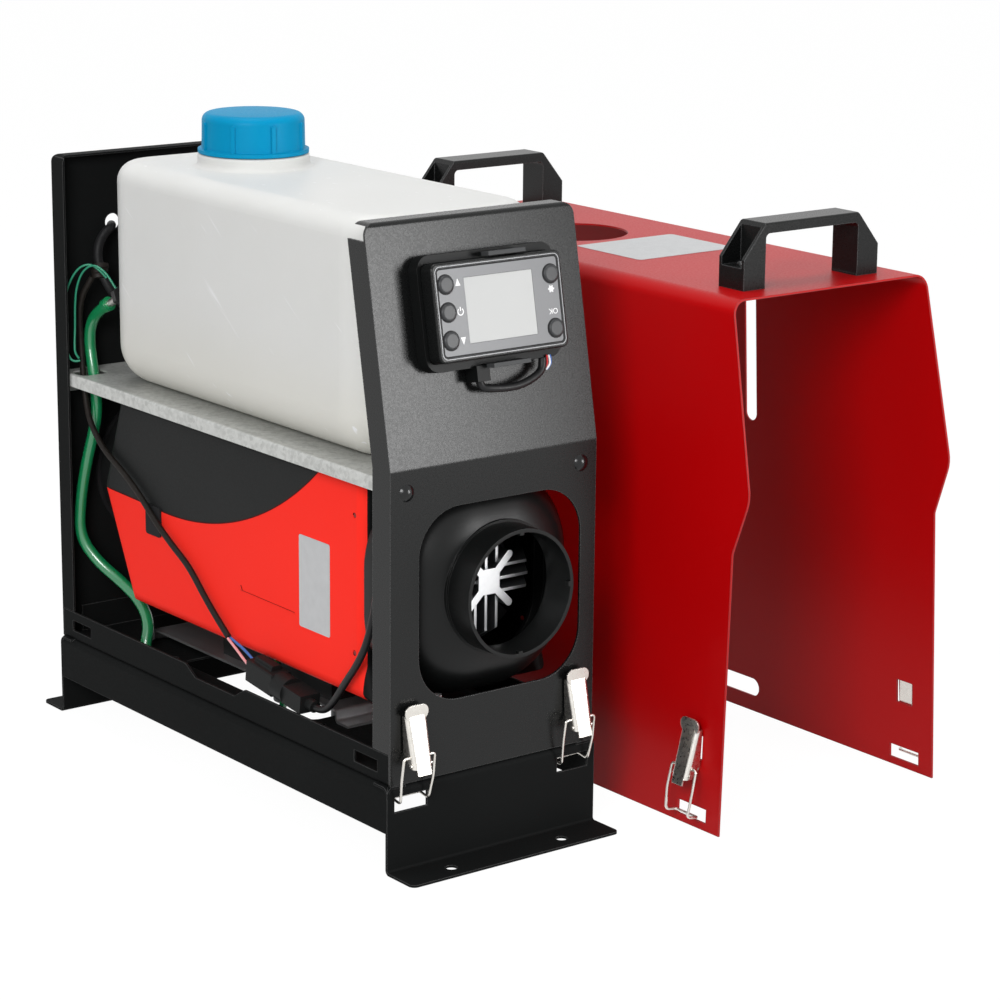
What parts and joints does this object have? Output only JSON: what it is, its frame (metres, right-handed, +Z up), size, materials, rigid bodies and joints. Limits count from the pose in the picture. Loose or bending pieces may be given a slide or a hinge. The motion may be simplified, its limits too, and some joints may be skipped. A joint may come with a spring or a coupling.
{
  "type": "diesel air heater",
  "caption": "Portable diesel air heater with fuel tank and control unit in an open steel frame; its latched cover with carrying handles stands beside it.",
  "frame": {"origin": "centre of the four foot bolt holes, on the floor", "axes": "X across the front, to the right as seen from the front; Y from front to back; Z up"},
  "size_m": [0.3819, 0.4665, 0.4016],
  "materials": {
    "black_powder_coat": "satin black powder coat",
    "red_powder_coat": "gloss red powder coat",
    "galvanised": "galvanised sheet",
    "nickel": "bright nickel plate",
    "black_screw": "black zinc",
    "tank_plastic": "translucent natural polyethylene",
    "blue_plastic": "gloss blue",
    "rubber_black": "black rubber",
    "red_plastic": "matt orange-red",
    "black_plastic": "black, fine texture",
    "cast_aluminium": "bare casting",
    "steel": "bare steel",
    "circuit_board": "green resist",
    "white_plastic": "white",
    "green_hose": "translucent green",
    "cable_black": "black sleeve",
    "controller_face": "satin mid grey",
    "screen": "clear window over a grey display"
  },
  "bodies": {
    "frame": {"base_tray": "black_powder_coat", "chassis_pan": "black_powder_coat", "front_panel": "black_powder_coat", "rear_panel": "black_powder_coat", "tank_shelf": "galvanised", "panel_screws": "black_screw", "fuel_tank": "tank_plastic", "tank_spigot": "steel", "heater_lower_shell": "red_plastic", "heater_upper_shell": "black_plastic", "outlet_cowl": "black_plastic", "inlet_guard": "black_plastic", "heat_exchanger": "cast_aluminium", "burner_tube": "steel", "glow_plug": "steel", "combustion_housing": "cast_aluminium", "fan_motor": "steel", "control_board": "circuit_board", "mounting_plate": "galvanised", "fuel_lines": "green_hose", "fuel_filter": "white_plastic", "fuel_pump": "steel", "rubber_clips": "rubber_black", "hose_clamps": "steel", "wire_harness": "cable_black", "harness_connector": "black_plastic", "supply_lead": "cable_black", "cable_conduit": "cable_black", "controller_bracket": "black_plastic", "controller_case": "black_plastic", "controller_face": "controller_face", "controller_screen": "screen", "control_cable": "cable_black", "frame_latch_plates": "nickel"},
    "cover": {"cover_shell": "red_powder_coat", "front_handle": "black_plastic", "rear_handle": "black_plastic", "cover_latch_plates": "nickel"},
    "seal": {"cap_seal": "rubber_black"},
    "cap": {"tank_cap": "blue_plastic"},
    "fans": {"motor_shaft": "steel", "hot_air_fan": "black_plastic", "combustion_fan": "cast_aluminium"},
    "up_key": {"button_up": "black_plastic"},
    "power_key": {"button_power": "black_plastic"},
    "down_key": {"button_down": "black_plastic"},
    "settings_key": {"button_settings": "black_plastic"},
    "ok_key": {"button_ok": "black_plastic"},
    "frame_lever_left": {"frame_lever_left": "nickel"},
    "frame_hook_left": {"frame_hook_left": "nickel"},
    "frame_lever_right": {"frame_lever_right": "nickel"},
    "frame_hook_right": {"frame_hook_right": "nickel"},
    "cover_lever_left_front": {"cover_lever_left_front": "nickel"},
    "cover_hook_left_front": {"cover_hook_left_front": "nickel"},
    "cover_lever_left_rear": {"cover_lever_left_rear": "nickel"},
    "cover_hook_left_rear": {"cover_hook_left_rear": "nickel"},
    "cover_lever_right_front": {"cover_lever_right_front": "nickel"},
    "cover_hook_right_front": {"cover_hook_right_front": "nickel"},
    "cover_lever_right_rear": {"cover_lever_right_rear": "nickel"},
    "cover_hook_right_rear": {"cover_hook_right_rear": "nickel"}
  },
  "joints": [
    {"name": "cover_lift", "type": "slide", "parent": "frame", "child": "cover", "axis": [0, 0, 1], "range_m": [0, 0.4]},
    {"name": "cap_rise", "type": "slide", "parent": "frame", "child": "seal", "axis": [0, 0, 1], "range_m": [0, 0.0101]},
    {"name": "cap_turn", "type": "hinge", "parent": "seal", "child": "cap", "pos_m": [0, 0.0626, 0.385], "axis": [0, 0, 1], "range_deg": [0, 720]},
    {"name": "fan_spin", "type": "hinge", "parent": "frame", "child": "fans", "pos_m": [0.0037, 0.06, 0.1574], "axis": [0, -1, 0], "continuous": true},
    {"name": "up_press", "type": "slide", "parent": "frame", "child": "up_key", "axis": [0, 0.9826, -0.1855], "range_m": [0, 0.001], "stiffness_N_per_m": 300},
    {"name": "power_press", "type": "slide", "parent": "frame", "child": "power_key", "axis": [0, 0.9826, -0.1855], "range_m": [0, 0.001], "stiffness_N_per_m": 300},
    {"name": "down_press", "type": "slide", "parent": "frame", "child": "down_key", "axis": [0, 0.9826, -0.1855], "range_m": [0, 0.001], "stiffness_N_per_m": 300},
    {"name": "settings_press", "type": "slide", "parent": "frame", "child": "settings_key", "axis": [0, 0.9826, -0.1855], "range_m": [0, 0.001], "stiffness_N_per_m": 300},
    {"name": "ok_press", "type": "slide", "parent": "frame", "child": "ok_key", "axis": [0, 0.9826, -0.1855], "range_m": [0, 0.001], "stiffness_N_per_m": 300},
    {"name": "frame_left_lever_turn", "type": "hinge", "parent": "frame", "child": "frame_lever_left", "pos_m": [-0.0579, -0.192, 0.0655], "axis": [1, 0, 0], "range_deg": [0, 115]},
    {"name": "frame_left_hook_turn", "type": "hinge", "parent": "frame_lever_left", "child": "frame_hook_left", "pos_m": [-0.0579, -0.1905, 0.07], "axis": [1, 0, 0], "range_deg": [-115, 0]},
    {"name": "frame_right_lever_turn", "type": "hinge", "parent": "frame", "child": "frame_lever_right", "pos_m": [0.0579, -0.192, 0.0655], "axis": [1, 0, 0], "range_deg": [0, 115]},
    {"name": "frame_right_hook_turn", "type": "hinge", "parent": "frame_lever_right", "child": "frame_hook_right", "pos_m": [0.0579, -0.1905, 0.07], "axis": [1, 0, 0], "range_deg": [-115, 0]},
    {"name": "cover_left_front_lever_turn", "type": "hinge", "parent": "cover", "child": "cover_lever_left_front", "pos_m": [0.10969, -0.2226, 0.03373], "axis": [0, -1, 0], "range_deg": [0, 115]},
    {"name": "cover_left_front_hook_turn", "type": "hinge", "parent": "cover_lever_left_front", "child": "cover_hook_left_front", "pos_m": [0.11131, -0.2226, 0.03819], "axis": [0, -1, 0], "range_deg": [-115, 0]},
    {"name": "cover_left_rear_lever_turn", "type": "hinge", "parent": "cover", "child": "cover_lever_left_rear", "pos_m": [0.10969, 0.095, 0.03373], "axis": [0, -1, 0], "range_deg": [0, 115]},
    {"name": "cover_left_rear_hook_turn", "type": "hinge", "parent": "cover_lever_left_rear", "child": "cover_hook_left_rear", "pos_m": [0.11131, 0.095, 0.03819], "axis": [0, -1, 0], "range_deg": [-115, 0]},
    {"name": "cover_right_front_lever_turn", "type": "hinge", "parent": "cover", "child": "cover_lever_right_front", "pos_m": [0.30216, -0.2226, 0.03391], "axis": [0, 1, 0], "range_deg": [0, 115]},
    {"name": "cover_right_front_hook_turn", "type": "hinge", "parent": "cover_lever_right_front", "child": "cover_hook_right_front", "pos_m": [0.30045, -0.2226, 0.03833], "axis": [0, 1, 0], "range_deg": [-115, 0]},
    {"name": "cover_right_rear_lever_turn", "type": "hinge", "parent": "cover", "child": "cover_lever_right_rear", "pos_m": [0.30216, 0.095, 0.03391], "axis": [0, 1, 0], "range_deg": [0, 115]},
    {"name": "cover_right_rear_hook_turn", "type": "hinge", "parent": "cover_lever_right_rear", "child": "cover_hook_right_rear", "pos_m": [0.30045, 0.095, 0.03833], "axis": [0, 1, 0], "range_deg": [-115, 0]}
  ],
  "couplings": [
    {"joint": "cap_rise", "follows": "cap_turn", "m_per_rad": 0.00079577},
    {"joint": "frame_left_hook_turn", "follows": "frame_left_lever_turn", "ratio": -1},
    {"joint": "frame_right_hook_turn", "follows": "frame_right_lever_turn", "ratio": -1},
    {"joint": "cover_left_front_hook_turn", "follows": "cover_left_front_lever_turn", "ratio": -1},
    {"joint": "cover_left_rear_hook_turn", "follows": "cover_left_rear_lever_turn", "ratio": -1},
    {"joint": "cover_right_front_hook_turn", "follows": "cover_right_front_lever_turn", "ratio": -1},
    {"joint": "cover_right_rear_hook_turn", "follows": "cover_right_rear_lever_turn", "ratio": -1}
  ]
}
